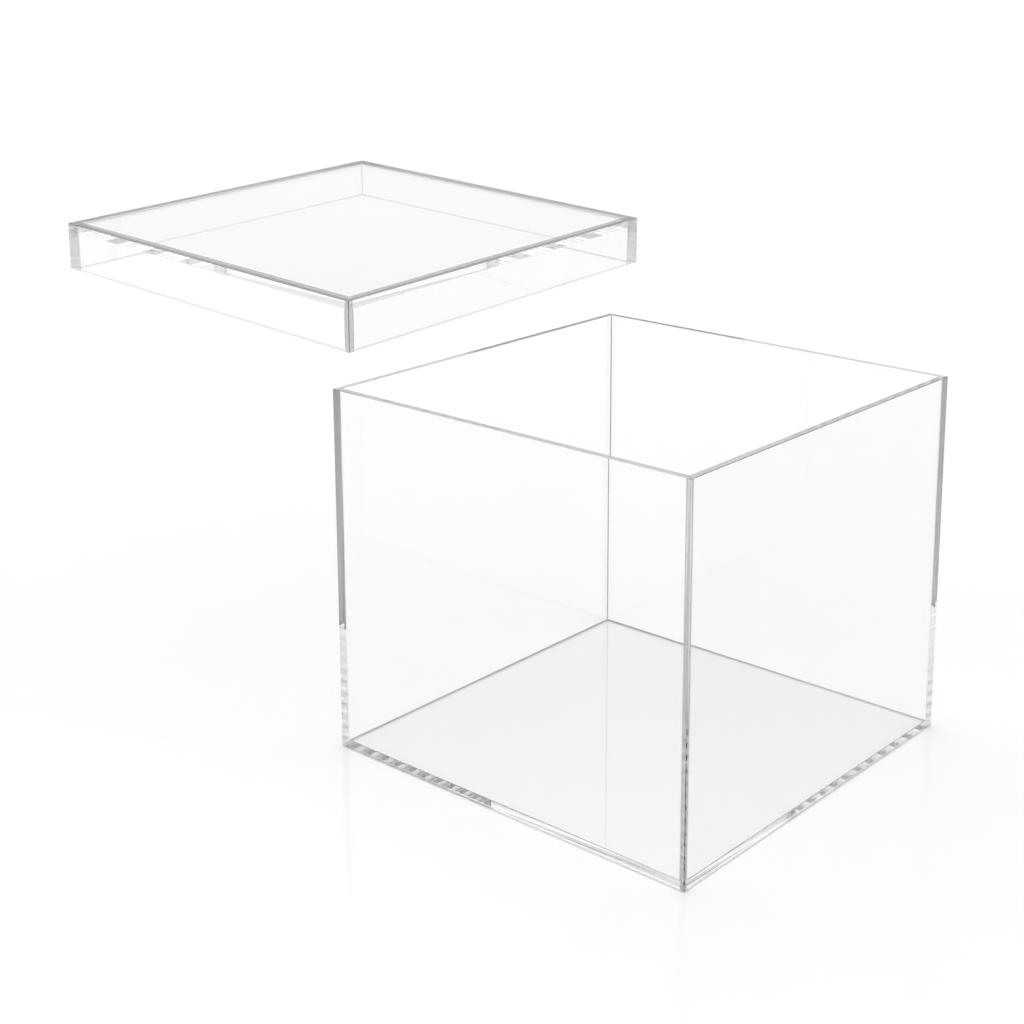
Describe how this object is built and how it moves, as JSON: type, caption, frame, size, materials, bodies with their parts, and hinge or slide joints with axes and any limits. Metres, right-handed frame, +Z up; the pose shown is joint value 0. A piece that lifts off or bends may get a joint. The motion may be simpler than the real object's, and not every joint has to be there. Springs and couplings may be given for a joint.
{
  "type": "acrylic display cube",
  "caption": "Clear acrylic display cube: open-topped box of mitred sheets, with a lift-off skirted lid held up beside its rim.",
  "frame": {"origin": "centre of the box's underside", "axes": "+Z up; -Y towards the box's front wall, +X towards its right wall; the lid is held to the left, at -X"},
  "size_m": [0.6324, 0.344, 0.3556],
  "materials": {
    "box_acrylic": "clear cast acrylic sheet, polished faces and scraped, polished edges",
    "lid_acrylic": "clear cast acrylic sheet, polished faces and scraped, polished edges",
    "cement": "clear acrylic cement, cured water-clear"
  },
  "bodies": {
    "box": {"box_base_panel": "box_acrylic", "box_front_wall": "box_acrylic", "box_right_wall": "box_acrylic", "box_back_wall": "box_acrylic", "box_left_wall": "box_acrylic", "box_base_cement": "cement", "box_front_right_cement": "cement", "box_back_right_cement": "cement", "box_back_left_cement": "cement", "box_front_left_cement": "cement"},
    "lid": {"lid_top_panel": "lid_acrylic", "lid_front_skirt": "lid_acrylic", "lid_right_skirt": "lid_acrylic", "lid_back_skirt": "lid_acrylic", "lid_left_skirt": "lid_acrylic", "lid_top_cement": "cement", "lid_front_right_cement": "cement", "lid_back_right_cement": "cement", "lid_back_left_cement": "cement", "lid_front_left_cement": "cement"}
  },
  "joints": [
    {"name": "lid_lift", "type": "slide", "parent": "box", "child": "lid", "axis": [0, 0, 1], "range_m": [-0.2857, 0.06]}
  ]
}
